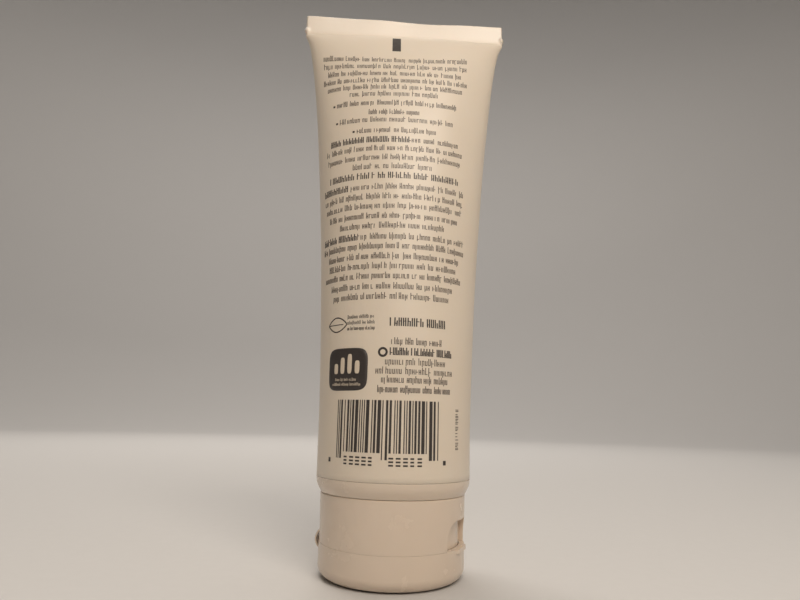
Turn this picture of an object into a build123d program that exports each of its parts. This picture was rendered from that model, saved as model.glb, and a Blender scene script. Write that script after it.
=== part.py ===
from build123d import *
import os
from math import cos, pi, radians, sin, sqrt

# Squeeze tube that stands on its flip-top screw cap, in millimetres.
# Origin: centre of the lid's flat end. +Z up the tube, sealed end parallel to X, printed back facing -Y.

# Driving dimensions
tube_diameter = 38.0
tube_height = 153.35
sleeve_bottom = 22.6
cap_rim = 18.95
parting = 7.65
thread_pitch = 3.0
neck_diameter = 16.0

# Sleeve
tube_radius = tube_diameter / 2
sleeve_wall = 0.5
seal_line = 147.55
seal_half_width = pi * tube_radius / 2
fill_curve = 1.68
fill_power = 0.417
section_steps = [0.0, 0.01, 0.035, 0.09, 0.17, 0.28, 0.42, 0.58, 0.76, 0.9, 1.0]
skin_gap = 0.03

# Head of the tube: shoulder and threaded neck
collar_wall = 1.3
collar_top = 25.55
shoulder_bottom = cap_rim + 0.1
shoulder_wall = 1.6
shoulder_edge_radius = 17.8
neck_radius = neck_diameter / 2
neck_bore_radius = 6.0
neck_end = 9.95
lip_length = 1.6
lip_hole_radius = 3.5

# Thread: a trapezoid ridge carried along a helix
thread_height = 0.9
thread_root_width = 1.5
thread_crest_width = 0.6
thread_turns = 2.0
thread_clearance = 0.2
thread_root_sink = 0.3
neck_thread_start = 12.25

# Cap base
cap_rim_radius = 17.8
cap_parting_radius = 17.52
cap_wall = 1.3
deck_thickness = 1.4
parting_gap = 0.01
rim_chamfer = 0.25
barrel_wall = 1.2
barrel_top = 18.15
orifice_radius = 2.0
spout_radius = 4.5
spout_length = 2.9
snap_ring_radius = 16.1
snap_ring_wall = 1.0
snap_ring_depth = 0.8
rib_count = 6
rib_thickness = 0.9
rib_top = 13.05

# Thumb recess in the cap base, opposite the hinge
thumb_angle = 66.5
thumb_half_width = 6.9
thumb_top = 13.85
thumb_floor = 16.15
thumb_corner_radius = 3.7
thumb_back_wall = 1.2

# Lid
lid_radius = 17.62
lid_wall = 1.3
lid_edge_radius = 2.6
plug_radius = 1.94
plug_tip_radius = 1.5
plug_top = 6.65
plug_seat = 5.05
seal_ring_radius = 4.8
seal_ring_wall = 0.9
seal_ring_top = 5.45
lip_reach = 0.7
lip_half_width = 4.0
lip_height = 0.9
lip_depth = 1.6
lip_corner_radius = 1.4

# Living hinge: a film hinge in the middle, inside its fold's axis, between two bowed straps
hinge_reach = 17.95
lug_half_width = 2.6
lug_height = 1.9
lug_depth = 1.5
lug_face = 17.66
film_thickness = 0.2
film_height = 2.4
strap_inner_turn = 11.5
strap_outer_turn = 24.0
strap_bow = 1.15
strap_half_height = 2.1
strap_thickness = 0.45
strap_root = 0.3

thumb_direction = Vector(sin(radians(thumb_angle)), -cos(radians(thumb_angle)), 0)
hinge_direction = thumb_direction * -1


def half_depth(height, offset):
    """Half thickness of the filled sleeve: zero slope towards the head, closing steeply at the seal."""
    span = (seal_line - height) / (seal_line - sleeve_bottom)
    fullness = max(1 - (1 - span) ** fill_curve, 0) ** fill_power
    return max(tube_radius * fullness, sleeve_wall) - offset


def half_width(depth, offset):
    """Half width that keeps the ellipse's perimeter equal to the round tube's."""
    low = tube_radius
    high = seal_half_width
    for _ in range(50):
        middle = (low + high) / 2
        thin = depth + offset
        ratio = ((middle - thin) / (middle + thin)) ** 2
        perimeter = pi * (middle + thin) * (1 + 3 * ratio / (10 + sqrt(4 - 3 * ratio)))
        if perimeter > 2 * pi * tube_radius:
            high = middle
        else:
            low = middle
    return low - offset


def sleeve_loft(offset, bottom, top):
    """Closed loft through ellipses from the seal down to the head, drawn inwards by offset."""
    sections = []
    for step in section_steps:
        height = top - step * (top - bottom)
        depth = half_depth(height, offset)
        ellipse = Ellipse(half_width(depth, offset), depth)
        sections.append(Plane.XY.offset(height) * ellipse)
    return loft(sections)


def ring(outer, inner, bottom, top):
    """Plain ring around the tube's axis."""
    tall = top - bottom
    solid = Cylinder(outer, tall, align=(Align.CENTER, Align.CENTER, Align.MIN))
    hole = Cylinder(inner, tall, align=(Align.CENTER, Align.CENTER, Align.MIN))
    return Pos(0, 0, bottom) * (solid - hole)


def disc(radius, bottom, top):
    """Plain disc around the tube's axis."""
    return Pos(0, 0, bottom) * Cylinder(radius, top - bottom, align=(Align.CENTER, Align.CENTER, Align.MIN))


def thread_ridge(base_radius, start, outward):
    """Right-handed trapezoid ridge on a wall of base_radius, pointing outward (1) or inward (-1)."""
    path = Helix(pitch=thread_pitch, height=thread_pitch * thread_turns, radius=base_radius)
    root = -thread_root_sink * outward
    crest = thread_height * outward
    with BuildSketch(Plane(origin=path @ 0, x_dir=(1, 0, 0), z_dir=path % 0)) as profile:
        with BuildLine():
            Polyline(
                (root, -thread_root_width / 2),
                (crest, -thread_crest_width / 2),
                (crest, thread_crest_width / 2),
                (root, thread_root_width / 2),
                close=True,
            )
        make_face()
    ridge = sweep(profile.sketch, path=path, is_frenet=True)
    return Pos(0, 0, start) * ridge


def outward_box(depth, width, tall, reach, bottom, direction):
    """Box whose outer face stands at reach along direction."""
    face = Plane(origin=(0, 0, bottom), x_dir=direction, z_dir=(0, 0, 1))
    box = Box(depth, width, tall, align=(Align.MAX, Align.CENTER, Align.MIN))
    return face * Pos(reach, 0, 0) * box


def make_sleeve():
    """Thin tube wall, lofted from round to flat, with its heat-sealed band."""
    outside = sleeve_loft(0.0, sleeve_bottom, seal_line)
    inside = sleeve_loft(sleeve_wall, sleeve_bottom, seal_line - 0.9)
    band_height = tube_height - seal_line
    band = Pos(0, 0, seal_line) * Box(
        2 * seal_half_width, 2 * sleeve_wall, band_height + 0.6, align=(Align.CENTER, Align.CENTER, Align.MAX)
    )
    band = Pos(0, 0, band_height) * band
    band = fillet(band.edges().filter_by(Axis.Z), 0.45)
    return outside - inside + band


def make_head():
    """Shoulder, collar inside the sleeve, and neck with its outer thread."""
    edge_depth = sleeve_bottom - shoulder_bottom
    collar_radius = tube_radius - sleeve_wall - skin_gap
    bore = collar_radius - collar_wall
    deck = shoulder_bottom + shoulder_wall
    with BuildSketch(Plane.XZ) as profile:
        with BuildLine():
            rim = Spline(
                (tube_radius, sleeve_bottom - skin_gap),
                (tube_radius - 0.35, sleeve_bottom - edge_depth * 0.55),
                (shoulder_edge_radius, shoulder_bottom),
                tangents=((0, -1), (-0.55, -1)),
            )
            Polyline(
                rim @ 1,
                (neck_radius, shoulder_bottom),
                (neck_radius, neck_end + lip_length),
                (neck_bore_radius, neck_end + lip_length),
                (neck_bore_radius, deck),
                (bore - 1.2, deck),
                (bore, deck + 1.2),
                (bore, collar_top),
                (collar_radius, collar_top),
                (collar_radius, sleeve_bottom - skin_gap),
                rim @ 0,
            )
        make_face()
    body = revolve(profile.sketch, axis=Axis.Z)
    return body + thread_ridge(neck_radius, neck_thread_start, 1)


def make_neck_lip():
    """Sealing lip with the tube's outlet, at the end of the neck."""
    lip = ring(neck_radius - 0.2, lip_hole_radius, neck_end, neck_end + lip_length - skin_gap)
    return chamfer(lip.edges().group_by(Axis.Z)[0].sort_by(SortBy.RADIUS)[-1], 0.5)


def make_cream():
    """Cream that fills the sleeve, the collar and the neck."""
    gap = skin_gap + 0.05
    filled = sleeve_loft(sleeve_wall + gap, collar_top + gap, seal_line - 1.6)
    collar_bore = tube_radius - sleeve_wall - skin_gap - collar_wall
    deck = shoulder_bottom + shoulder_wall
    middle = disc(collar_bore - gap, deck + 1.2 + gap, collar_top + 0.5)
    lower = disc(collar_bore - 1.2 - gap, deck + gap, deck + 1.3 + gap)
    neck = disc(neck_bore_radius - gap, neck_end + lip_length, deck + 0.5)
    return filled + middle + lower + neck


def thumb_cut():
    """Cut for the thumb recess: its floor follows the skirt, it opens at the parting line, and its top is arched."""
    block = outward_box(
        6.0, 2 * thumb_half_width, thumb_top - parting + 2, tube_radius + 1, parting - 2, thumb_direction
    )
    along = Axis((0, 0, 0), thumb_direction)
    edges = block.edges().filter_by(along).group_by(Axis.Z)[-1]
    return fillet(edges, thumb_corner_radius) - disc(thumb_floor, parting - 3, thumb_top + 1)


def thumb_back():
    """Wall behind the thumb recess, thickened inwards."""
    pad = outward_box(
        6.0, 2 * thumb_half_width + 2, thumb_top + 1.2 - parting - 0.3, tube_radius, parting + 0.3, thumb_direction
    )
    return pad & ring(cap_parting_radius - 1.0, thumb_floor - thumb_back_wall, parting, thumb_top + 2)


def hinge_lug(bottom):
    """Low flat lug that carries one side of the film hinge."""
    return outward_box(lug_depth, 2 * lug_half_width, lug_height, lug_face, bottom, hinge_direction)


def make_cap_base():
    """Outer skirt, deck, spout, threaded barrel, ribs and thumb recess."""
    bottom = parting + parting_gap
    deck_top = bottom + deck_thickness
    with BuildSketch(Plane.XZ) as profile:
        with BuildLine():
            Polyline(
                (orifice_radius, deck_top),
                (orifice_radius, bottom - spout_length),
                (spout_radius - 0.4, bottom - spout_length),
                (spout_radius, bottom - spout_length + 0.6),
                (spout_radius, bottom),
                (snap_ring_radius - snap_ring_wall, bottom),
                (snap_ring_radius - snap_ring_wall, bottom - snap_ring_depth),
                (snap_ring_radius - 0.2, bottom - snap_ring_depth),
                (snap_ring_radius, bottom - snap_ring_depth + 0.3),
                (snap_ring_radius, bottom),
                (cap_parting_radius, bottom),
                (cap_rim_radius, cap_rim - rim_chamfer),
                (cap_rim_radius - rim_chamfer, cap_rim),
                (cap_rim_radius - cap_wall, cap_rim),
                (cap_parting_radius - cap_wall, deck_top),
                close=True,
            )
        make_face()
    shell = revolve(profile.sketch, axis=Axis.Z)
    barrel_radius = neck_radius + thread_height + thread_clearance
    barrel = ring(barrel_radius + barrel_wall, barrel_radius, deck_top - 0.1, barrel_top)
    barrel += thread_ridge(barrel_radius, neck_thread_start - thread_pitch / 2, -1)
    shell += barrel
    rib_inner = barrel_radius + barrel_wall - 0.1
    rib_outer = cap_parting_radius - cap_wall + 0.1
    for index in range(rib_count):
        turn = thumb_angle - 90 + (index + 0.5) * 360 / rib_count
        rib = Pos((rib_inner + rib_outer) / 2, 0, deck_top - 0.1) * Box(
            rib_outer - rib_inner, rib_thickness, rib_top - deck_top,
            align=(Align.CENTER, Align.CENTER, Align.MIN)
        )
        shell += Rot(0, 0, turn) * rib
    shell += thumb_back()
    shell -= thumb_cut()
    shell += hinge_lug(bottom)
    return shell - make_straps()


def make_lid():
    """Shallow cup with a rounded edge, sealing plug and ring, thumb lip and hinge lugs."""
    top = parting - parting_gap
    inner = lid_radius - lid_wall
    inner_round = lid_edge_radius - lid_wall * 0.7
    with BuildSketch(Plane.XZ) as profile:
        with BuildLine():
            Line((0, 0), (lid_radius - lid_edge_radius, 0))
            outer_edge = RadiusArc(
                (lid_radius - lid_edge_radius, 0), (lid_radius, lid_edge_radius), -lid_edge_radius
            )
            Polyline(outer_edge @ 1, (lid_radius, top), (inner, top), (inner, lid_wall + inner_round))
            inner_edge = RadiusArc(
                (inner, lid_wall + inner_round), (inner - inner_round, lid_wall), inner_round
            )
            Polyline(
                inner_edge @ 1,
                (seal_ring_radius + seal_ring_wall, lid_wall),
                (seal_ring_radius + seal_ring_wall, seal_ring_top),
                (seal_ring_radius, seal_ring_top),
                (seal_ring_radius, lid_wall),
                (plug_radius, lid_wall),
                (plug_radius, plug_seat),
                (plug_tip_radius, plug_top - 0.3),
                (plug_tip_radius - 0.4, plug_top),
                (0, plug_top),
                (0, 0),
            )
        make_face()
    cup = revolve(profile.sketch, axis=Axis.Z)
    reach = sqrt(lid_radius ** 2 - lip_half_width ** 2) + lip_reach
    lip = outward_box(lip_depth, 2 * lip_half_width, lip_height, reach, top - lip_height, thumb_direction)
    tips = lip.edges().filter_by(Axis.Z).sort_by(Axis((0, 0, 0), thumb_direction))[-2:]
    cup += fillet(tips, lip_corner_radius)
    cup += hinge_lug(top - lug_height)
    return cup - make_straps()


def make_straps():
    """Two bowed straps that bridge the parting line, either side of the film hinge, rooted in base and lid."""
    root = cap_parting_radius - strap_root
    seat = lid_radius
    peak = cap_parting_radius + strap_bow
    low = parting - strap_half_height
    high = parting + strap_half_height
    inner_high = high - strap_thickness
    inner_low = low + strap_thickness
    with BuildSketch(Plane.XZ) as profile:
        with BuildLine():
            outside = ThreePointArc((seat, high), (peak, parting), (seat, low))
            Polyline(outside @ 1, (root, low), (root, inner_low), (seat, inner_low))
            inside = ThreePointArc((seat, inner_low), (peak - strap_thickness, parting), (seat, inner_high))
            Polyline(inside @ 1, (root, inner_high), (root, high), outside @ 0)
        make_face()
    width = strap_outer_turn - strap_inner_turn
    band = revolve(profile.sketch, axis=Axis.Z, revolution_arc=width)
    hinge_turn = thumb_angle + 90
    starts = (hinge_turn + strap_inner_turn, hinge_turn - strap_outer_turn)
    return Compound(children=[Rot(0, 0, start) * band for start in starts])


def make_film():
    """Thin film hinge on the outer faces of the lugs."""
    return outward_box(
        film_thickness, 2 * lug_half_width, film_height, lug_face + film_thickness, parting - film_height / 2,
        hinge_direction
    )


nodes = {
    "tube_sleeve": make_sleeve(),
    "tube_head": make_head(),
    "neck_lip": make_neck_lip(),
    "cream_fill": make_cream(),
    "cap_base": make_cap_base(),
    "cap_lid": make_lid(),
    "hinge_straps": make_straps(),
    "hinge_film": make_film(),
}

os.makedirs("parts", exist_ok=True)
for name, shape in nodes.items():
    export_step(shape, f"parts/{name}.step")
    print(name, round(shape.volume, 1), shape.bounding_box())
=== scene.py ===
import math

import bmesh
import bpy
import numpy as np
from mathutils import Matrix, Vector


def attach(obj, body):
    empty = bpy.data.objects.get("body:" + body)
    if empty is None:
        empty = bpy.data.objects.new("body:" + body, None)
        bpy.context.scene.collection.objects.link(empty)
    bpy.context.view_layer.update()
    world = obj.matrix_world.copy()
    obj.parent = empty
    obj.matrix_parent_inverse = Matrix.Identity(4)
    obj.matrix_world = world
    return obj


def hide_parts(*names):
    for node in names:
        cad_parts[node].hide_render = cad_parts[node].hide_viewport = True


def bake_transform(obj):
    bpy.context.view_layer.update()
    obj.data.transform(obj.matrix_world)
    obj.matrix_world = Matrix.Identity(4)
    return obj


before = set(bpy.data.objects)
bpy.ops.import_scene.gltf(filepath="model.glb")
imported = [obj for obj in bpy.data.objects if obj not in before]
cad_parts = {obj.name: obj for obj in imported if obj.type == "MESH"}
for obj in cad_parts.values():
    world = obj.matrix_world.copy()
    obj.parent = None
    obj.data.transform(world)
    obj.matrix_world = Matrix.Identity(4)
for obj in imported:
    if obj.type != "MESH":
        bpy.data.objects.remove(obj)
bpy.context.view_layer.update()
mm = 0.001


# Camera: in front of the printed back, a little below the middle and looking up along the tube

cameraValues = {
    "place": (-0.00579, -0.14336, 0.03594),
    "pitch": 12.46,
    "yaw": 2.54,
    "roll": 1.50,
    "lens": 24.66,
    "sensor": 36.0,
    "clip": (0.005, 20),
}


def makeCamera(values):
    pitch, yaw, roll = (math.radians(values[k]) for k in ("pitch", "yaw", "roll"))
    forward = Vector((math.sin(yaw) * math.cos(pitch), math.cos(yaw) * math.cos(pitch), math.sin(pitch)))
    level = Vector((math.cos(yaw), -math.sin(yaw), 0))
    upward = level.cross(forward)
    right = math.cos(roll) * level + math.sin(roll) * upward
    top = math.cos(roll) * upward - math.sin(roll) * level
    data = bpy.data.cameras.new("camera")
    data.lens = values["lens"]
    data.sensor_width = values["sensor"]
    data.clip_start, data.clip_end = values["clip"]
    camera = bpy.data.objects.new("camera", data)
    turn = Matrix((right, top, -forward)).transposed().to_4x4()
    camera.matrix_world = Matrix.Translation(values["place"]) @ turn
    bpy.context.scene.collection.objects.link(camera)
    bpy.context.scene.camera = camera


makeCamera(cameraValues)


# Mesh helpers: every new surface is a grid of points worked out as whole arrays

def gridFaces(rows, columns, wrap):
    # quads between neighbouring rows, closed round the columns when wrap is true
    last = columns if wrap else columns - 1
    row = np.arange(rows - 1)[:, None]
    column = np.arange(last)[None, :]
    beside = (column + 1) % columns
    corners = (
        row * columns + column, row * columns + beside,
        (row + 1) * columns + beside, (row + 1) * columns + column,
    )
    return np.stack([c.ravel() for c in np.broadcast_arrays(*corners)], axis=1)


def makePiece(name, points, faces, material, weld=0.0):
    mesh = bpy.data.meshes.new(name)
    points = np.asarray(points, np.float32).reshape(-1, 3)
    faces = np.asarray(faces, np.int32)
    mesh.vertices.add(len(points))
    mesh.vertices.foreach_set("co", points.ravel())
    mesh.loops.add(faces.size)
    mesh.loops.foreach_set("vertex_index", faces.ravel())
    mesh.polygons.add(len(faces))
    mesh.polygons.foreach_set("loop_start", np.arange(0, faces.size, faces.shape[1], dtype=np.int32))
    mesh.polygons.foreach_set("use_smooth", np.ones(len(faces), bool))
    mesh.update(calc_edges=True)
    mesh.validate()
    if weld > 0:
        work = bmesh.new()
        work.from_mesh(mesh)
        bmesh.ops.remove_doubles(work, verts=work.verts, dist=weld)
        bmesh.ops.recalc_face_normals(work, faces=work.faces)
        work.to_mesh(mesh)
        work.free()
        mesh.polygons.foreach_set("use_smooth", np.ones(len(mesh.polygons), bool))
    piece = bpy.data.objects.new(name, mesh)
    piece.data.materials.append(material)
    bpy.context.scene.collection.objects.link(piece)
    return piece


# Shader node helpers and the groups that several finishes share

def startGroup(name, inputs, outputs):
    group = bpy.data.node_groups.new(name, "ShaderNodeTree")
    for label, value in inputs.items():
        kind = "NodeSocketColor" if isinstance(value, tuple) else "NodeSocketFloat"
        socket = group.interface.new_socket(name=label, in_out="INPUT", socket_type=kind)
        socket.default_value = value
    for label, kind in outputs.items():
        group.interface.new_socket(name=label, in_out="OUTPUT", socket_type=kind)
    entry = group.nodes.new("NodeGroupInput")
    finish = group.nodes.new("NodeGroupOutput")
    return group, entry, finish


def addNode(tree, kind, **settings):
    node = tree.nodes.new(kind)
    for key, value in settings.items():
        setattr(node, key, value)
    return node


def calc(tree, operation, first, second=0.0, third=0.0):
    # one Math node; each argument is a socket or a number
    node = addNode(tree, "ShaderNodeMath", operation=operation)
    for slot, value in zip(node.inputs, (first, second, third)):
        if isinstance(value, (int, float)):
            slot.default_value = value
        else:
            tree.links.new(value, slot)
    return node.outputs[0]


def noise(tree, vector, scale, detail=3.0, roughness=0.5):
    node = addNode(tree, "ShaderNodeTexNoise")
    node.inputs["Scale"].default_value = scale
    node.inputs["Detail"].default_value = detail
    node.inputs["Roughness"].default_value = roughness
    tree.links.new(vector, node.inputs["Vector"])
    return node.outputs["Fac"]


def stretched(tree, vector, scale):
    node = addNode(tree, "ShaderNodeMapping")
    node.inputs["Scale"].default_value = scale
    tree.links.new(vector, node.inputs["Vector"])
    return node.outputs["Vector"]


def ramp(tree, value, low, high, outLow=0.0, outHigh=1.0):
    node = addNode(tree, "ShaderNodeMapRange", interpolation_type="SMOOTHSTEP")
    for label, number in zip(("From Min", "From Max", "To Min", "To Max"), (low, high, outLow, outHigh)):
        node.inputs[label].default_value = number
    tree.links.new(value, node.inputs["Value"])
    return node.outputs["Result"]


def mixColours(tree, factor, first, second):
    node = addNode(tree, "ShaderNodeMix", data_type="RGBA")
    tree.links.new(factor, node.inputs["Factor"])
    for slot, value in ((node.inputs["A"], first), (node.inputs["B"], second)):
        if isinstance(value, tuple):
            slot.default_value = value
        else:
            tree.links.new(value, slot)
    return node.outputs["Result"]


def makeMouldedGroup():
    # cloudy colour of a moulded or extruded plastic, with faint pits and a fine orange peel
    group, entry, finish = startGroup(
        "mouldedPlastic",
        {"Colour": (0.8, 0.7, 0.6, 1), "Shade": (0.7, 0.6, 0.5, 1), "Gloss": 0.3, "Peel": 1.0},
        {"Colour": "NodeSocketColor", "Roughness": "NodeSocketFloat", "Height": "NodeSocketFloat"},
    )
    place = addNode(group, "ShaderNodeTexCoord").outputs["Object"]
    cloud = noise(group, place, 70, 4, 0.55)
    speck = noise(group, place, 2600, 2, 0.6)
    clouded = ramp(group, cloud, 0.3, 0.75, 0.0, 0.16)
    tint = calc(group, "ADD", clouded, ramp(group, speck, 0.66, 0.8, 0.0, 0.12))
    colour = mixColours(group, tint, entry.outputs["Colour"], entry.outputs["Shade"])
    group.links.new(colour, finish.inputs["Colour"])
    smear = noise(group, place, 110, 5, 0.6)
    rough = calc(group, "MULTIPLY_ADD", ramp(group, smear, 0.35, 0.7), 0.06, entry.outputs["Gloss"])
    group.links.new(rough, finish.inputs["Roughness"])
    peel = noise(group, place, 900, 2, 0.5)
    fine = noise(group, place, 4200, 2, 0.5)
    height = calc(group, "MULTIPLY_ADD", fine, 0.25, peel)
    group.links.new(calc(group, "MULTIPLY", height, entry.outputs["Peel"]), finish.inputs["Height"])
    return group


def makeScuffGroup():
    # hair-fine rubbing marks from a bathroom shelf: thin stretched noise, cut to a few lines
    group, entry, finish = startGroup("shelfScuffs", {"Amount": 1.0}, {"Mask": "NodeSocketFloat"})
    place = addNode(group, "ShaderNodeTexCoord").outputs["Object"]
    turned = addNode(group, "ShaderNodeMapping")
    turned.inputs["Rotation"].default_value = (0.5, 0.9, 0.3)
    turned.inputs["Scale"].default_value = (40, 40, 1800)
    group.links.new(place, turned.inputs["Vector"])
    line = noise(group, turned.outputs["Vector"], 1.0, 2, 0.5)
    area = noise(group, place, 120, 3, 0.6)
    mask = calc(group, "MULTIPLY", ramp(group, line, 0.70, 0.78), ramp(group, area, 0.52, 0.66))
    group.links.new(calc(group, "MULTIPLY", mask, entry.outputs["Amount"]), finish.inputs["Mask"])
    return group


mouldedGroup = makeMouldedGroup()
scuffGroup = makeScuffGroup()


def useGroup(tree, group, **values):
    node = addNode(tree, "ShaderNodeGroup", node_tree=group)
    for label, value in values.items():
        node.inputs[label].default_value = value
    return node


def startMaterial(name):
    material = bpy.data.materials.new(name)
    material.use_nodes = True
    tree = material.node_tree
    return material, tree, tree.nodes["Principled BSDF"]


def addBump(tree, shader, height, distance):
    # distance is how far, in metres, the surface seems to rise where height is 1
    bump = addNode(tree, "ShaderNodeBump")
    bump.inputs["Distance"].default_value = distance
    tree.links.new(height, bump.inputs["Height"])
    tree.links.new(bump.outputs["Normal"], shader.inputs["Normal"])


def addGlow(shader, weight, radius, scale):
    # light that enters the material and leaves it close by, in metres
    shader.inputs["Subsurface Weight"].default_value = weight
    shader.inputs["Subsurface Radius"].default_value = radius
    shader.inputs["Subsurface Scale"].default_value = scale


plasticIor = 1.5
plasticGlowRadius = (1.0, 0.7, 0.45)


def makePlastic(name, values):
    # moulded plastic: the shared skin, and scuffs that are rougher and lie a little lower
    material, tree, shader = startMaterial(name)
    skin = useGroup(
        tree, mouldedGroup, Colour=values["colour"], Shade=values["shade"], Gloss=values["gloss"],
        Peel=values["peel"],
    )
    scuff = useGroup(tree, scuffGroup, Amount=values["scuffs"])
    tree.links.new(skin.outputs["Colour"], shader.inputs["Base Color"])
    rough = calc(tree, "MULTIPLY_ADD", scuff.outputs["Mask"], 0.25, skin.outputs["Roughness"])
    tree.links.new(rough, shader.inputs["Roughness"])
    height = calc(tree, "MULTIPLY_ADD", scuff.outputs["Mask"], -0.5, skin.outputs["Height"])
    addBump(tree, shader, height, values["bump"])
    shader.inputs["IOR"].default_value = plasticIor
    addGlow(shader, values["glow"], plasticGlowRadius, values["glowScale"])
    return material


capFinish = makePlastic("capPolypropylene", {
    "colour": (0.72, 0.605, 0.495, 1),
    "shade": (0.66, 0.545, 0.435, 1),
    "gloss": 0.22,
    "peel": 0.35,
    "scuffs": 0.06,
    "bump": 0.00002,
    "glow": 0.12,
    "glowScale": 0.0012,
})

headFinish = makePlastic("headPolyethylene", {
    "colour": (0.72, 0.61, 0.50, 1),
    "shade": (0.66, 0.55, 0.44, 1),
    "gloss": 0.22,
    "peel": 0.35,
    "scuffs": 0.06,
    "bump": 0.00002,
    "glow": 0.12,
    "glowScale": 0.0012,
})


def makeSleeveFinish(values):
    # extruded polyethylene: satin, drawn lines up the tube, glossier where the jaws pressed the seal, and a
    # lighter base colour on the seal band as painted sheen
    material, tree, shader = startMaterial("sleevePolyethylene")
    skin = useGroup(
        tree, mouldedGroup, Colour=values["colour"], Shade=values["shade"], Gloss=values["gloss"],
        Peel=values["peel"],
    )
    scuff = useGroup(tree, scuffGroup, Amount=values["scuffs"])
    place = addNode(tree, "ShaderNodeTexCoord").outputs["Object"]
    drawn = noise(tree, stretched(tree, place, (1, 1, 0.03)), 700, 3, 0.5)
    split = addNode(tree, "ShaderNodeSeparateXYZ")
    tree.links.new(place, split.inputs[0])
    start, spread = values["sealStart"], values["sealSpread"]
    seal = ramp(tree, split.outputs["Z"], start - spread, start + spread)
    # painted sheen: the seal band's base colour is lifted to a lighter tone, standing in for the band's
    # bright glossy look
    colour = mixColours(tree, seal, skin.outputs["Colour"], values["paintedSealSheen"])
    tree.links.new(colour, shader.inputs["Base Color"])
    rough = calc(tree, "MULTIPLY_ADD", scuff.outputs["Mask"], 0.2, skin.outputs["Roughness"])
    rough = calc(tree, "MULTIPLY_ADD", seal, -0.06, rough)
    tree.links.new(rough, shader.inputs["Roughness"])
    height = calc(tree, "MULTIPLY_ADD", drawn, 0.7, skin.outputs["Height"])
    height = calc(tree, "MULTIPLY_ADD", scuff.outputs["Mask"], -0.6, height)
    addBump(tree, shader, height, values["bump"])
    shader.inputs["IOR"].default_value = plasticIor
    addGlow(shader, values["glow"], plasticGlowRadius, values["glowScale"])
    return material


sleeveFinish = makeSleeveFinish({
    "colour": (0.76, 0.668, 0.555, 1),
    "shade": (0.69, 0.590, 0.475, 1),
    # lighter colour for the seal band: painted sheen
    "paintedSealSheen": (0.80, 0.722, 0.625, 1),
    "gloss": 0.36,
    "peel": 0.9,
    "scuffs": 0.18,
    "bump": 0.00003,
    "glow": 0.12,
    "glowScale": 0.001,
    "sealStart": 0.1480,
    "sealSpread": 0.0008,
})


def makeInk(name, colour, worn):
    # flexographic ink: dark warm grey, thinner in small patches so that the plastic shows through
    material, tree, shader = startMaterial(name)
    place = addNode(tree, "ShaderNodeTexCoord").outputs["Object"]
    thin = ramp(tree, noise(tree, place, 1500, 4, 0.65), 0.55, 0.8, 0.0, 0.6)
    tree.links.new(mixColours(tree, thin, colour, worn), shader.inputs["Base Color"])
    rough = ramp(tree, noise(tree, place, 600, 2, 0.5), 0.2, 0.8, 0.42, 0.6)
    tree.links.new(rough, shader.inputs["Roughness"])
    addBump(tree, shader, noise(tree, place, 2500, 2, 0.5), 0.000006)
    return material


darkInk = makeInk("darkInk", (0.040, 0.033, 0.030, 1), (0.080, 0.066, 0.056, 1))
textInk = makeInk("textInk", (0.085, 0.066, 0.054, 1), (0.20, 0.16, 0.13, 1))
clearInk = makeInk("bareSleeveInk", (0.68, 0.585, 0.465, 1), (0.60, 0.51, 0.40, 1))


def makeCreamFinish(values):
    # soft white paste with low waves, lighter on the crests
    material, tree, shader = startMaterial("shavingCream")
    place = addNode(tree, "ShaderNodeTexCoord").outputs["Object"]
    soft = noise(tree, place, 260, 4, 0.55)
    colour = mixColours(tree, ramp(tree, soft, 0.3, 0.7), values["colour"], values["shade"])
    tree.links.new(colour, shader.inputs["Base Color"])
    tree.links.new(ramp(tree, soft, 0.2, 0.8, 0.35, 0.55), shader.inputs["Roughness"])
    addBump(tree, shader, soft, values["bump"])
    addGlow(shader, values["glow"], values["glowRadius"], values["glowScale"])
    return material


creamFinish = makeCreamFinish({
    "colour": (0.90, 0.89, 0.86, 1),
    "shade": (0.82, 0.80, 0.76, 1),
    "bump": 0.0002,
    "glow": 0.4,
    "glowRadius": (1.0, 0.9, 0.8),
    "glowScale": 0.002,
})
print("finishes made")


# Sleeve: a closed loop of constant length that goes from round at the head to flat at the seal

sleeve = {
    "radius": 19.0,
    "wall": 0.5,
    "bottom": 22.6,
    "sealLine": 147.55,
    "top": 153.35,
    "fillCurve": 1.68,
    "fillPower": 0.417,
    "foldSpan": 0.008,
    "sharpest": 60.0,
    "roundest": 1.0002,
    "flatSlope": 0.12,
    "earReach": 0.40,
    "earHeight": 148.6,
    "earHalfHeight": 0.75,
    "earWidth": 0.035,
    "sealSpread": 0.006,
    "spreadStart": 143,
    "spreadTall": 5,
    "ripple": 0.05,
    "pressTall": 1.5,
    "warp": 0.35,
    "warpStart": 146,
    "warpTall": 8,
    "calmTall": 8,
    "rimRound": 0.06,
    "topRound": 0.35,
    "cavityStop": 0.6,
    "columns": 288,
    "sideCrowding": 0.32,
    "outerRows": 170,
    "topCrowding": 1.7,
    "innerRows": 26,
}

plainSide = 59.7  # middle of the unprinted side: half of the loop's length, in mm

dents = [  # place round the tube from the middle of the printed side, height, width, tallness, depth, in mm
    (-11.5, 146.6, 7.0, 2.2, -0.28),
    (-2.0, 142.0, 9.0, 5.0, -0.10),
    (13.0, 144.5, 8.0, 4.0, 0.12),
    (22.0, 133.0, 5.0, 11.0, -0.22),
    (-23.5, 131.0, 5.0, 12.0, -0.20),
    (8.0, 118.0, 12.0, 10.0, -0.12),
    (-14.0, 96.0, 9.0, 14.0, 0.10),
    (20.0, 84.0, 6.0, 16.0, -0.14),
    (4.0, 58.0, 14.0, 12.0, -0.08),
    (plainSide - 12.0, 138.0, 10.0, 7.0, -0.30),
    (plainSide + 16.0, 120.0, 9.0, 12.0, -0.22),
    (plainSide + 3.0, 88.0, 16.0, 18.0, -0.16),
    (plainSide - 20.0, 64.0, 8.0, 14.0, -0.10),
]

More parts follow.
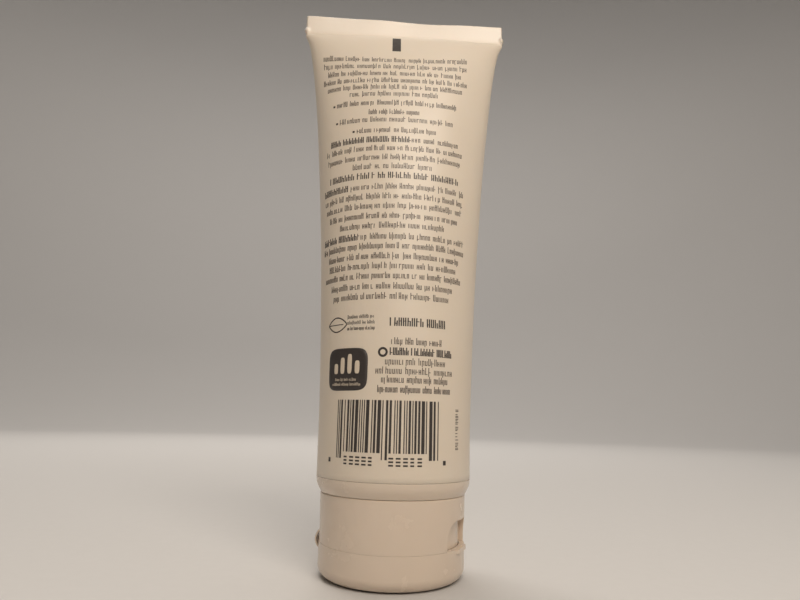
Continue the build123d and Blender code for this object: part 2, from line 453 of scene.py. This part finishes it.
# share of the round section's half depth that is left at each sharpness k: arccosh k over root (k k - 1)
sharpness = np.geomspace(1.0001, 4000, 3000)
depthShare = np.arccosh(sharpness) / np.sqrt(sharpness ** 2 - 1)


def innerDepth(height):
    # half depth of the filled cavity: grows steeply below the seal, then flattens out towards the head
    span = np.clip((sleeve["sealLine"] - height) / (sleeve["sealLine"] - sleeve["bottom"]), 0, 1)
    full = np.clip(1 - (1 - span) ** sleeve["fillCurve"], 0, 1) ** sleeve["fillPower"]
    full = full * (1 - np.exp(-span / sleeve["foldSpan"]))
    return np.clip(sleeve["radius"] * full - sleeve["wall"], 0, None)


def wallBulge(around, turn, height, seal):
    # sum of the dents, each a bell in both directions, and a faint ripple; none on the seal or at the head
    bulge = np.zeros(np.broadcast(turn, height).shape)
    loop = 2 * np.pi * sleeve["radius"]
    for place, level, wide, tall, amount in dents:
        away = (np.asarray(around) - place + loop / 2) % loop - loop / 2
        bulge = bulge + amount * np.exp(-(away / wide) ** 2 - ((height - level) / tall) ** 2)
    ripple = sleeve["ripple"] * np.sin(4 * turn + height * 0.06) * np.sin(height * 0.11 + turn)
    return (bulge + ripple) * (1 - seal) * np.clip((height - sleeve["bottom"]) / sleeve["calmTall"], 0, 1)


def sleevePoint(around, height, outward):
    # around is the length along the section from the middle of the printed side, in mm, and outward the
    # distance from the cavity wall. The tangent's angle f obeys tan f = tan t / k, so the loop keeps its
    # length for every k and closes from a circle, k = 1, to a flat fold; both coordinates then have a
    # closed form.
    radius = sleeve["radius"] - sleeve["wall"]
    turn = np.asarray(around, float) / sleeve["radius"]
    height = np.asarray(height, float)
    depth = innerDepth(height)
    k = np.interp(depth / radius, depthShare[::-1], sharpness[::-1])
    k = np.clip(k, sleeve["roundest"], sleeve["sharpest"])
    root = np.sqrt(k ** 2 - 1)
    squeeze = depth / (radius * np.arccosh(k) / root)
    spread = 1 + sleeve["sealSpread"] * np.clip((height - sleeve["spreadStart"]) / sleeve["spreadTall"], 0, 1)
    x = spread * radius * k / root * np.arcsin(np.clip(root / k * np.sin(turn), -1, 1))
    y = -squeeze * radius / root * np.arcsinh(root * np.cos(turn))
    slope = np.sqrt(k ** 2 * np.cos(turn) ** 2 + np.sin(turn) ** 2)
    alongX = k * np.cos(turn) / slope
    alongY = np.maximum(squeeze, sleeve["flatSlope"]) * np.sin(turn) / slope
    length = np.hypot(alongX, alongY)
    normalX = alongY / length
    normalY = -alongX / length
    seal = np.clip((height - sleeve["sealLine"] + sleeve["pressTall"]) / sleeve["pressTall"], 0, 1)
    bulge = wallBulge(around, turn, height, seal)
    fold = np.exp(-((np.abs(np.cos(turn))) / sleeve["earWidth"]) ** 2)
    squeezedOut = np.exp(-((height - sleeve["earHeight"]) / sleeve["earHalfHeight"]) ** 4)
    reach = outward + bulge + sleeve["earReach"] * fold * squeezedOut
    wave = np.sin(x * 0.11 + 0.6) + 0.5 * np.sin(x * 0.27)
    rising = np.clip((height - sleeve["warpStart"]) / sleeve["warpTall"], 0, 1)
    warp = sleeve["warp"] * seal * wave * rising
    return np.stack([x + reach * normalX, y + reach * normalY + warp, height + 0 * turn], axis=-1)


def makeSleeve():
    # one skin: up the cavity's wall from the seal to the rim, round the rim, and up the outside to the top
    even = np.linspace(0, 2 * np.pi, sleeve["columns"], endpoint=False)
    around = (even + sleeve["sideCrowding"] * np.sin(2 * even)) * sleeve["radius"]
    wall, rimRound, topRound = sleeve["wall"], sleeve["rimRound"], sleeve["topRound"]
    low, high = sleeve["bottom"] + rimRound, sleeve["top"] - topRound
    climb = np.linspace(0, 1, sleeve["outerRows"])
    outerHeight = low + (high - low) * (1 - (1 - climb) ** sleeve["topCrowding"])
    innerHeight = np.linspace(sleeve["sealLine"] - sleeve["cavityStop"], low, sleeve["innerRows"])
    edge = np.radians(np.linspace(15, 90, 6))
    rim = np.radians(np.linspace(-90, 90, 7)[1:-1])
    heights = np.concatenate([
        [sleeve["sealLine"]], innerHeight, low - rimRound * np.cos(rim), outerHeight,
        high + topRound * np.sin(edge),
    ])
    offsets = np.concatenate([
        np.zeros(1 + len(innerHeight)), wall / 2 + wall / 2 * np.sin(rim),
        np.full(len(outerHeight), wall), wall * np.cos(edge),
    ])
    points = sleevePoint(around[None, :], heights[:, None], offsets[:, None]) * mm
    faces = gridFaces(len(heights), sleeve["columns"], True)
    piece = makePiece("sleeveWall", points, faces, sleeveFinish, weld=0.000002)
    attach(piece, "tube")
    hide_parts("tube_sleeve")


makeSleeve()
print("sleeve made")


# Cream: the same closing loop, a hair inside the wall, with a plain column down through the neck

cream = {
    "columns": 96,
    "top": 147.0,
    "loopBottom": 27.0,
    "gap": 0.12,
    "column": [
        (17.0, 25.9), (17.0, 23.4), (16.0, 21.3), (6.6, 21.25), (5.9, 20.8), (5.9, 12.1), (0.0, 12.1),
    ],
}


def makeCream():
    # the column is a list of radius and height, turned round the tube's axis
    around = np.linspace(0, 2 * np.pi, cream["columns"], endpoint=False) * sleeve["radius"]
    upper = np.linspace(cream["top"], cream["loopBottom"], 60)
    body = sleevePoint(around[None, :], upper[:, None], -cream["gap"])
    turn = around / sleeve["radius"]
    lower = np.array([[(r * math.sin(t), -r * math.cos(t), z) for t in turn] for r, z in cream["column"]])
    closing = body[:1] * [1, 0, 1]
    points = np.concatenate([closing, body, lower]) * mm
    faces = gridFaces(len(points), cream["columns"], True)
    piece = makePiece("creamBody", points, faces, creamFinish, weld=0.000002)
    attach(piece, "tube")
    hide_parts("cream_fill")


makeCream()
print("cream made")


# Print on the back: plain strokes in rows, laid on the sleeve as thin films of ink

printing = {
    "seed": 7,
    "rise": 0.028,
    "sink": -0.03,
    "overprint": 0.02,
    "capHeight": 1.62,
    "lowHeight": 1.12,
    "pitch": 0.76,
    "stem": 0.175,
    "boldStem": 0.27,
    "boldPitch": 1.0,
    "boldGrowth": 1.08,
    "wordGap": 0.62,
    "bridge": 0.16,
    "bridgeLevels": [0.02, 0.42, 0.86],
    "tail": 0.35,
    "lean": 0.1,
    "boldDrop": 0.1,
    "stemStep": 0.50,
}

chances = {
    "capital": 0.28,
    "firstCapital": 0.4,
    "tail": 0.12,
    "secondStem": 0.8,
    "shortSecond": 0.7,
    "bridge": 0.75,
}

rows = [  # height of the row's middle, left end, right end, end of the bold part, marker dot
    (133.45, -24.2, 18.5, None, False),
    (131.05, -24.0, 18.0, None, False),
    (128.55, -22.5, 16.5, None, False),
    (126.15, -24.0, 18.0, None, False),
    (123.85, -22.5, 16.5, None, False),
    (121.55, -15.4, 9.2, None, False),
    (118.55, -19.1, 14.6, None, True),
    (115.55, -9.8, 4.0, None, False),
    (113.15, -18.0, 13.5, None, True),
    (109.85, -12.8, 8.6, None, True),
    (106.95, -20.8, 15.0, 1.4, False),
    (104.35, -22.3, 16.3, None, False),
    (101.65, -21.7, 15.7, None, False),
    (99.05, -13.5, 7.5, None, False),
    (96.35, -20.8, 15.2, 16.0, False),
    (93.25, -23.2, 17.0, -14.2, False),
    (90.55, -22.8, 16.8, None, False),
    (87.95, -22.1, 16.5, None, False),
    (85.25, -20.6, 15.0, None, False),
    (82.65, -16.7, 10.9, None, False),
    (79.75, -23.2, 17.4, -11.8, False),
    (77.25, -23.4, 17.4, None, False),
    (74.65, -20.8, 15.5, None, False),
    (72.15, -20.4, 14.6, None, False),
    (69.65, -22.3, 16.3, None, False),
    (67.05, -19.3, 13.5, None, False),
    (64.55, -18.4, 12.4, None, False),
]


smiling = {
    "top": 134.5,
    "fade": 8.5,
    "depth": 2.1,
    "everywhere": 0.5,
    "full": 134,
    "middle": -3.1,
    "half": 20.5,
}


def smile(around, height):
    # rows bend up towards the sides near the seal, because the wall there is drawn into a flat line
    near = np.exp(-np.clip(smiling["top"] - height, 0, None) / smiling["fade"])
    lift = smiling["depth"] * near + smiling["everywhere"] * np.clip(height / smiling["full"], 0, 1) ** 3
    return lift * ((np.asarray(around) - smiling["middle"]) / smiling["half"]) ** 2


def inkFilm(name, corners, material, lift=0.0):
    # corners: one row of four (around, height) corners per stroke; each stroke is a thin closed slab
    corners = np.asarray(corners, float).reshape(-1, 4, 2)
    around = corners[:, :, 0]
    height = corners[:, :, 1] + smile(corners[:, :, 0], corners[:, :, 1])
    outer = sleevePoint(around, height, sleeve["wall"] + printing["rise"] + lift)
    inner = sleevePoint(around, height, sleeve["wall"] + printing["sink"])
    points = np.concatenate([inner, outer], axis=1) * mm
    slab = np.array([
        [3, 2, 1, 0], [4, 5, 6, 7], [0, 1, 5, 4], [1, 2, 6, 5], [2, 3, 7, 6], [3, 0, 4, 7],
    ])
    faces = (np.arange(len(corners))[:, None, None] * 8 + slab[None]).reshape(-1, 4)
    piece = makePiece(name, points, faces, material)
    piece.data.polygons.foreach_set("use_smooth", np.zeros(len(piece.data.polygons), bool))
    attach(piece, "tube")


def stepped(strokes, steps):
    # cuts each upright stroke into short ones, so that a tall bar follows the curved wall
    share = np.linspace(0, 1, steps + 1)[:, None, None]
    lower, upper = strokes[:, :2], strokes[:, :1:-1]
    edge = lower[None] + (upper - lower)[None] * share[:, None]
    return np.concatenate([edge[:-1], edge[1:, :, ::-1]], axis=2).reshape(-1, 4, 2)


def bars(left, right, low, high, lean=0.0):
    # corner list of upright strokes, leaning sideways by lean
    values = (np.asarray(v, float) for v in (left, right, low, high, lean))
    left, right, low, high, lean = np.broadcast_arrays(*values)
    return np.stack([
        np.stack([left, low], -1), np.stack([right, low], -1),
        np.stack([right + lean, high], -1), np.stack([left + lean, high], -1),
    ], axis=1)


def wordStarts(random, left, right, pitch, boldPitch, boldEnd, gap):
    # words of two to nine marks in a row, then stretched a little so that the row ends where it should
    words = []
    at = 0.0
    while at < right - left:
        count = int(random.randint(2, 10))
        step = boldPitch if at < boldEnd else pitch
        words.append((at, count, step))
        at += count * step + gap
    scale = (right - left) / (at - gap)
    starts = np.concatenate([at + np.arange(count) * step for at, count, step in words]) * scale + left
    first = np.concatenate([np.arange(count) == 0 for at, count, step in words])
    return starts, first, scale


def greekRow(random, middle, left, right, boldTo=None, size=1.0, pitch=None):
    # one row of unreadable marks: each is one or two stems and a short bridge, sometimes with a tail
    pitch = (pitch or printing["pitch"]) * size
    boldPitch = printing["boldPitch"] * size
    boldEnd = -1 if boldTo is None else boldTo - left
    gap = printing["wordGap"] * size
    starts, first, scale = wordStarts(random, left, right, pitch, boldPitch, boldEnd, gap)
    count = len(starts)
    bold = starts < (left - 1 if boldTo is None else boldTo)
    capHeight, lowHeight = printing["capHeight"] * size, printing["lowHeight"] * size
    stem = np.where(bold, printing["boldStem"], printing["stem"]) * size
    tall = np.where(random.rand(count) < chances["capital"], capHeight, lowHeight)
    tall = np.where(first & (random.rand(count) < chances["firstCapital"]), capHeight, tall)
    tall = np.where(bold, capHeight * printing["boldGrowth"], tall)
    base = middle - 0.5 * lowHeight - np.where(bold, printing["boldDrop"], 0.0)
    drop = np.where(random.rand(count) < chances["tail"], printing["tail"] * size, 0.0) * ~bold
    lean = printing["lean"] * (random.rand(count) - 0.5) * size
    second = random.rand(count) < chances["secondStem"]
    step = np.where(bold, boldPitch, pitch) * scale * printing["stemStep"]
    shorter = np.where(random.rand(count) < chances["shortSecond"], np.minimum(tall, lowHeight), tall)
    level = random.choice(printing["bridgeLevels"], count) * lowHeight
    bridge = random.rand(count) < chances["bridge"]
    thick = printing["bridge"] * size
    return np.concatenate([
        bars(starts, starts + stem, base - drop, base + tall, lean),
        bars(starts + step, starts + step + stem, base, base + shorter, lean)[second],
        bars(starts, starts + step + stem, base + level, base + level + thick)[bridge],
    ])


addressRows = [  # height of the row's middle, left end, right end, end of the bold part
    (53.75, -2.0, 10.5, None),
    (51.35, -2.3, 13.5, 14),
    (49.05, -3.3, 11.6, None),
    (46.95, -5.5, 13.8, None),
    (44.95, -4.1, 12.3, None),
    (42.75, -4.9, 13.1, None),
]

titleRow = {"middle": 58.25, "left": -2.5, "right": 11.6, "boldTo": 20, "size": 1.15}
leafRows = {"middles": (59.75, 58.35, 56.95), "left": -13.3, "right": -6.0, "size": 0.55, "pitch": 0.9}


def makePrint():
    # every row in turn, its bold strokes sorted from its plain ones; some rows start with a small square dot
    random = np.random.RandomState(printing["seed"])
    plain = []
    strong = []
    for middle, left, right, boldTo, dot in rows:
        strokes = greekRow(random, middle, left, right, boldTo)
        bold = strokes[:, 0, 0] < (left - 1 if boldTo is None else boldTo)
        plain.append(strokes[~bold])
        strong.append(strokes[bold])
        if dot:
            strong.append(bars([left - 1.25], [left - 0.65], [middle - 0.25], [middle + 0.3]))
    for middle, left, right, boldTo in addressRows:
        strokes = greekRow(random, middle, left, right, boldTo)
        (strong if boldTo else plain).append(strokes)
    strong.append(greekRow(random, **titleRow))
    for middle in leafRows["middles"]:
        left, right, size, pitch = (leafRows[k] for k in ("left", "right", "size", "pitch"))
        strong.append(greekRow(random, middle, left, right, size=size, pitch=pitch))
    inkFilm("printRows", np.concatenate(plain), textInk)
    inkFilm("printBoldRows", np.concatenate(strong), darkInk)


makePrint()

eyeMark = {"left": -3.85, "right": -1.40, "low": 137.25, "high": 143.45}


def makeEyeMark():
    # registration mark under the seal: one dark block, in steps so that it follows the slope
    levels = np.linspace(eyeMark["low"], eyeMark["high"], 9)
    inkFilm("eyeMark", bars(eyeMark["left"], eyeMark["right"], levels[:-1], levels[1:]), darkInk)


makeEyeMark()

barBlock = {
    "seed": 23,
    "left": -15.8,
    "right": 10.0,
    "low": 28.95,
    "high": 40.45,
    "guardLow": 27.5,
    "middle": -2.9,
    "modules": 95,
    "spread": 0.03,
    "dashLevels": (26.2, 26.95, 27.7),
    "dashTall": 0.36,
    "dashRuns": ((-12.8, -4.9), (-1.9, 6.2)),
    "endMarks": ([-18.1, 11.1], [-17.3, 11.9], 26.45, 27.45),
}


def makeBarBlock(values):
    # plain stripes of random width: spaces and bars take turns, guard bars reach lower
    random = np.random.RandomState(values["seed"])
    left, right, modules = values["left"], values["right"], values["modules"]
    module = (right - left) / modules
    wide = random.choice([1, 1, 2, 2, 3], 80)
    narrow = random.choice([1, 1, 1, 2], 80)
    edges = np.concatenate([[0], np.cumsum(np.where(np.arange(80) % 2, wide, narrow))])
    edges = edges[edges <= modules] * module + left
    starts, ends = edges[1:-1:2], edges[2::2]
    count = min(len(starts), len(ends))
    starts, ends = starts[:count], ends[:count]
    guard = (starts < left + 10 * module) | (starts > right - 10 * module)
    guard = guard | (np.abs(starts - values["middle"]) < 0.7)
    lows = np.where(guard, values["guardLow"], values["low"])
    stripes = bars(starts, ends - values["spread"], lows, values["high"])
    inkFilm("barBlock", stepped(stripes, 8), darkInk)
    marks = np.concatenate([np.linspace(start, end, 6)[:-1] for start, end in values["dashRuns"]])
    sizes = random.choice([0.85, 1.05], len(marks))
    dashes = [bars(marks, marks + sizes, level, level + values["dashTall"]) for level in values["dashLevels"]]
    dashes.append(bars(*values["endMarks"]))
    inkFilm("barBlockMarks", np.concatenate(dashes), darkInk)


makeBarBlock(barBlock)

sideCode = {"seed": 5, "left": 15.1, "low": 29.75, "high": 38.95, "step": 0.72, "thick": 0.17, "second": 0.32}


def makeSideCode(values):
    # small column of marks read sideways, beside the stripes
    random = np.random.RandomState(values["seed"])
    levels = np.arange(values["low"], values["high"], values["step"])
    left = values["left"] + 0 * levels
    wide = random.choice([0.8, 1.15], len(levels))
    above = levels + values["second"]
    strokes = [bars(left, left + wide, levels, levels + values["thick"])]
    strokes.append(bars(left, left + 1.1, above, above + values["thick"])[random.rand(len(levels)) < 0.6])
    inkFilm("sideCode", np.concatenate(strokes), textInk)


makeSideCode(sideCode)


def patch(name, centre, halfWide, halfTall, power, material, lift=0.0, hole=0.0):
    # filled rounded shape on a polar grid: the edge is a superellipse, with an optional inner hole
    turn = np.linspace(0, 2 * np.pi, 96, endpoint=False)
    edge = 1 / (np.abs(np.cos(turn)) ** power + np.abs(np.sin(turn)) ** power) ** (1 / power)
    ring = np.linspace(max(hole, 0.001), 1, 9)[:, None]
    around = centre[0] + halfWide * ring * edge * np.cos(turn)
    height = centre[1] + halfTall * ring * edge * np.sin(turn)
    top = sleevePoint(around, height, sleeve["wall"] + printing["rise"] + lift)
    low = sleevePoint(around, height, sleeve["wall"] + printing["sink"])
    points = np.concatenate([top, low[::-1]]) * mm
    if hole:
        points = np.concatenate([points, points[:1]])
    piece = makePiece(name, points, gridFaces(len(points), len(turn), True), material, weld=0.000001)
    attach(piece, "tube")


badge = {
    "seed": 3,
    "centre": (-13.3, 47.45),
    "halfWide": 5.9,
    "halfTall": 4.95,
    "bars": [(-16.4, 47.6, 1.2), (-14.3, 48.3, 1.9), (-12.2, 48.7, 2.3), (-10.1, 47.9, 1.5)],
    "barHalfWide": 0.62,
    "lines": [(45.0, -16.6, -10.2), (43.9, -17.6, -9.0)],
    "lineSize": 0.42,
    "linePitch": 0.95,
}


def makeBadge(values):
    # dark rounded patch with four plain light bars and two rows of light dashes
    patch("badgePatch", values["centre"], values["halfWide"], values["halfTall"], 5.0, darkInk)
    lift = printing["overprint"]
    for index, (around, height, tall) in enumerate(values["bars"]):
        patch(f"badgeBar{index}", (around, height), values["barHalfWide"], tall, 4.0, clearInk, lift)
    random = np.random.RandomState(values["seed"])
    size, pitch = values["lineSize"], values["linePitch"]
    lines = [greekRow(random, *line, size=size, pitch=pitch) for line in values["lines"]]
    inkFilm("badgeLines", np.concatenate(lines), clearInk, lift)


makeBadge(badge)

leaf = {
    "left": -19.9,
    "length": 6.4,
    "middle": 58.2,
    "halfTall": 1.75,
    "ribRight": -14.6,
    "outline": 0.28,
    "rib": 0.2,
}


def ribbon(line, thick):
    # strokes along a line of points, each one a quad of the given thickness
    step = np.diff(line, axis=0)
    side = np.stack([-step[:, 1], step[:, 0]], -1) / np.hypot(step[:, 0], step[:, 1])[:, None]
    side = np.concatenate([side, side[-1:]]) * thick / 2
    left, right = line + side, line - side
    return np.stack([right[:-1], right[1:], left[1:], left[:-1]], axis=1)


def makeLeafMark(values):
    # outline of a plain leaf, half width a sine to the power 0.8, with a straight midrib
    along = np.linspace(0, 1, 41)
    width = values["halfTall"] * np.sin(np.pi * along) ** 0.8
    across = values["left"] + values["length"] * along
    upper = np.stack([across, values["middle"] + width], -1)
    lower = np.stack([across, values["middle"] - width], -1)[::-1]
    loop = np.concatenate([upper, lower[1:]])
    rib = np.stack([np.linspace(values["left"], values["ribRight"], 12), np.full(12, values["middle"])], -1)
    strokes = [ribbon(loop, values["outline"]), ribbon(rib, values["rib"])]
    inkFilm("leafMark", np.concatenate(strokes), darkInk)


makeLeafMark(leaf)

roundMark = {"centre": (-3.9, 51.35), "radius": 1.15, "hole": 0.55}
patch(
    "roundMark", roundMark["centre"], roundMark["radius"], roundMark["radius"], 2.0, darkInk,
    hole=roundMark["hole"],
)
print("print made")


# Hinge: two bowed straps and a film between the cap and the lid

hinge = {
    "turn": 246.5,
    "parting": 7.65,
    "axisReach": 17.95,
    "strapStart": 11.5,
    "strapEnd": 24.0,
    "strapRoot": 17.25,
    "strapSeat": 17.62,
    "strapPeak": 18.67,
    "strapHalfHeight": 2.1,
    "strapThickness": 0.45,
    "filmReach": 17.76,
    "filmHalfWidth": 2.6,
    "filmHalfHeight": 1.2,
    "filmThickness": 0.2,
    "filmNeck": 0.1,
    "filmNeckTall": 0.12,
    "strapBend": 1.6,
    "filmBend": 0.25,
}


bandColumns = 40


def roundedLoop(power):
    # superellipse round the origin, from -1 to 1 both ways
    turn = np.linspace(0, 2 * np.pi, bandColumns, endpoint=False)
    across = np.sign(np.cos(turn)) * np.abs(np.cos(turn)) ** (2 / power)
    through = np.sign(np.sin(turn)) * np.abs(np.sin(turn)) ** (2 / power)
    return across, through


def carriedBand(reach, level, thickness, start, end, place):
    # a rounded flat section, from start to end sideways, carried along the path (reach, level) and closed
    # to a point at both ends; place turns distance, height and sideways amount into a point
    slopeReach, slopeLevel = np.gradient(reach), np.gradient(level)
    length = np.hypot(slopeReach, slopeLevel)
    across, through = roundedLoop(5.0)
    closing = np.ones(len(reach))
    closing[[0, -1]] = 0.0
    half = 0.5 * thickness * closing
    out = reach[:, None] + half[:, None] * through * (-slopeLevel / length)[:, None]
    up = level[:, None] + half[:, None] * through * (slopeReach / length)[:, None]
    middle, wide = (start + end) / 2, (end - start) / 2
    return place(out, up, middle + wide * across[None, :] * closing[:, None])


def roundTheCap(values, side):
    # sideways amounts are degrees round the cap's axis, away from the hinge's middle
    def place(out, up, angle):
        angle = np.radians(values["turn"] + side * angle)
        return np.stack([out * np.sin(angle), -out * np.cos(angle), up], axis=-1)
    return place


def hingeDirections(values):
    # unit vectors from the cap's axis towards the hinge, and along the hinge's line
    turn = math.radians(values["turn"])
    return np.array([math.sin(turn), -math.cos(turn), 0.0]), np.array([math.cos(turn), math.sin(turn), 0.0])


def makeStraps(values):
    # each strap bows out as a parabola between its two roots in the wall
    root, seat, thick = values["strapRoot"], values["strapSeat"], values["strapThickness"]
    bow = np.linspace(-1, 1, 33)
    half = values["strapHalfHeight"] - thick / 2
    depth = values["strapPeak"] - thick / 2 - seat
    reach = np.concatenate([[root], seat + depth * (1 - bow ** 2), [root]])
    level = np.concatenate([[half], -half * bow, [-half]]) + values["parting"]
    thickness = np.full(len(reach), thick)
    start, end = values["strapStart"], values["strapEnd"]
    parts = [
        carriedBand(reach, level, thickness, start, end, roundTheCap(values, side)).reshape(-1, 3)
        for side in (-1, 1)
    ]
    faces = gridFaces(len(reach), bandColumns, True)
    faces = np.concatenate([faces, faces + len(parts[0])])
    return makePiece("hingeStraps", np.concatenate(parts) * mm, faces, capFinish, weld=0.000001)


def makeFilm(values):
    # flat plate, thinned in the middle by a bell so that it bends there
    direction, sideways = hingeDirections(values)

    def place(out, up, offset):
        upward = up[..., None] * np.array([0, 0, 1.0])
        return out[..., None] * direction + offset[..., None] * sideways + upward

    rise = np.linspace(-1, 1, 49)
    level = values["parting"] - values["filmHalfHeight"] * rise
    reach = np.full(len(rise), values["filmReach"])
    neck = values["filmNeck"] * np.exp(-(rise / values["filmNeckTall"]) ** 2)
    wide = values["filmHalfWidth"]
    points = carriedBand(reach, level, values["filmThickness"] - neck, -wide, wide, place)
    faces = gridFaces(len(rise), bandColumns, True)
    return makePiece("hingeFilmPlate", points * mm, faces, capFinish, weld=0.000001)


def makeHinge(values):
    # both pieces are made at rest at the parting line, the CAD parts they stand in for are hidden, and each
    # piece's placement is baked into its mesh
    pieces = (
        (makeStraps(values), "hinge_straps", values["strapBend"]),
        (makeFilm(values), "hinge_film", values["filmBend"]),
    )
    for piece, node, spread in pieces:
        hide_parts(node)
        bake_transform(piece)


makeHinge(hinge)
print("hinge made")


# Moulded parts keep their shapes and get their finishes

def finishNode(node, material):
    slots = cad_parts[node].data.materials
    slots.clear()
    slots.append(material)


nodeFinishes = {
    "cap_base": capFinish,
    "cap_lid": capFinish,
    "tube_head": headFinish,
    "neck_lip": headFinish,
}

for node, material in nodeFinishes.items():
    finishNode(node, material)


# Studio: pale round sweep, a soft key light from the front right, and dim lights for the rest

studio = {
    "floorRadius": 1.2,
    "flatRadius": 0.3,
    "bend": 0.8,
    "wall": 2.6,
    "below": 0.0002,
    "colour": (0.62, 0.61, 0.60, 1),
    "grainBrightness": 1.04,
    "roughness": 0.75,
    "air": (1.0, 0.91, 0.80, 1),
    "airStrength": 0.04,
}

lights = {  # place and target in metres, size, power, colour
    "keyLight": ((0.11, -0.38, 0.40), (0.0, 0.0, 0.10), (0.30, 0.26), 1.8, (1.0, 0.90, 0.79)),
    "topLight": ((0.0, 0.1, 1.6), (0.0, 0.0, 0.0), (1.6, 1.6), 5.5, (1.0, 0.91, 0.81)),
    "backLight": ((0.0, 0.45, 1.2), (0.0, 1.9, 0.5), (1.0, 0.5), 9.0, (1.0, 0.95, 0.90)),
    "rearLight": ((-0.25, 0.62, 1.05), (0.0, 0.0, 0.08), (0.7, 0.5), 5.0, (1.0, 0.93, 0.85)),
}


def makeFloorFinish(values):
    material, tree, shader = startMaterial("paleFloor")
    place = addNode(tree, "ShaderNodeTexCoord").outputs["Object"]
    grain = noise(tree, place, 300, 3, 0.5)
    lighter = tuple(min(c * values["grainBrightness"], 1) for c in values["colour"][:3]) + (1,)
    tree.links.new(mixColours(tree, grain, values["colour"], lighter), shader.inputs["Base Color"])
    shader.inputs["Roughness"].default_value = values["roughness"]
    return material


def makeStudio(values):
    # profile carried round the vertical axis: flat floor, quarter bend, upright wall
    bend = np.radians(np.linspace(0, 90, 13))
    curved = values["floorRadius"] + values["bend"] * np.sin(bend)
    radius = np.concatenate([[0.0, values["flatRadius"]], curved, curved[-1:]])[:, None]
    level = np.concatenate([[0.0, 0.0], values["bend"] * (1 - np.cos(bend)), [values["wall"]]])[:, None]
    turn = np.linspace(0, 2 * np.pi, 96, endpoint=False)
    height = level + 0 * turn - values["below"]
    points = np.stack([radius * np.sin(turn), radius * np.cos(turn), height], axis=-1)
    faces = gridFaces(len(radius), len(turn), True)
    makePiece("studioFloor", points, faces, makeFloorFinish(values))


def addLight(name, place, target, size, power, colour):
    data = bpy.data.lights.new(name, "AREA")
    data.shape = "RECTANGLE"
    data.size, data.size_y = size
    data.energy = power
    data.color = colour
    light = bpy.data.objects.new(name, data)
    aim = Vector(target) - Vector(place)
    light.matrix_world = Matrix.Translation(place) @ aim.to_track_quat("-Z", "Y").to_matrix().to_4x4()
    bpy.context.scene.collection.objects.link(light)


def makeAir(values):
    # faint even light from all round
    world = bpy.data.worlds.new("softWorld")
    world.use_nodes = True
    background = world.node_tree.nodes["Background"]
    background.inputs["Color"].default_value = values["air"]
    background.inputs["Strength"].default_value = values["airStrength"]
    bpy.context.scene.world = world


makeStudio(studio)
for name, values in lights.items():
    addLight(name, *values)
makeAir(studio)
bpy.context.scene.view_settings.view_transform = "Standard"
print("studio made")
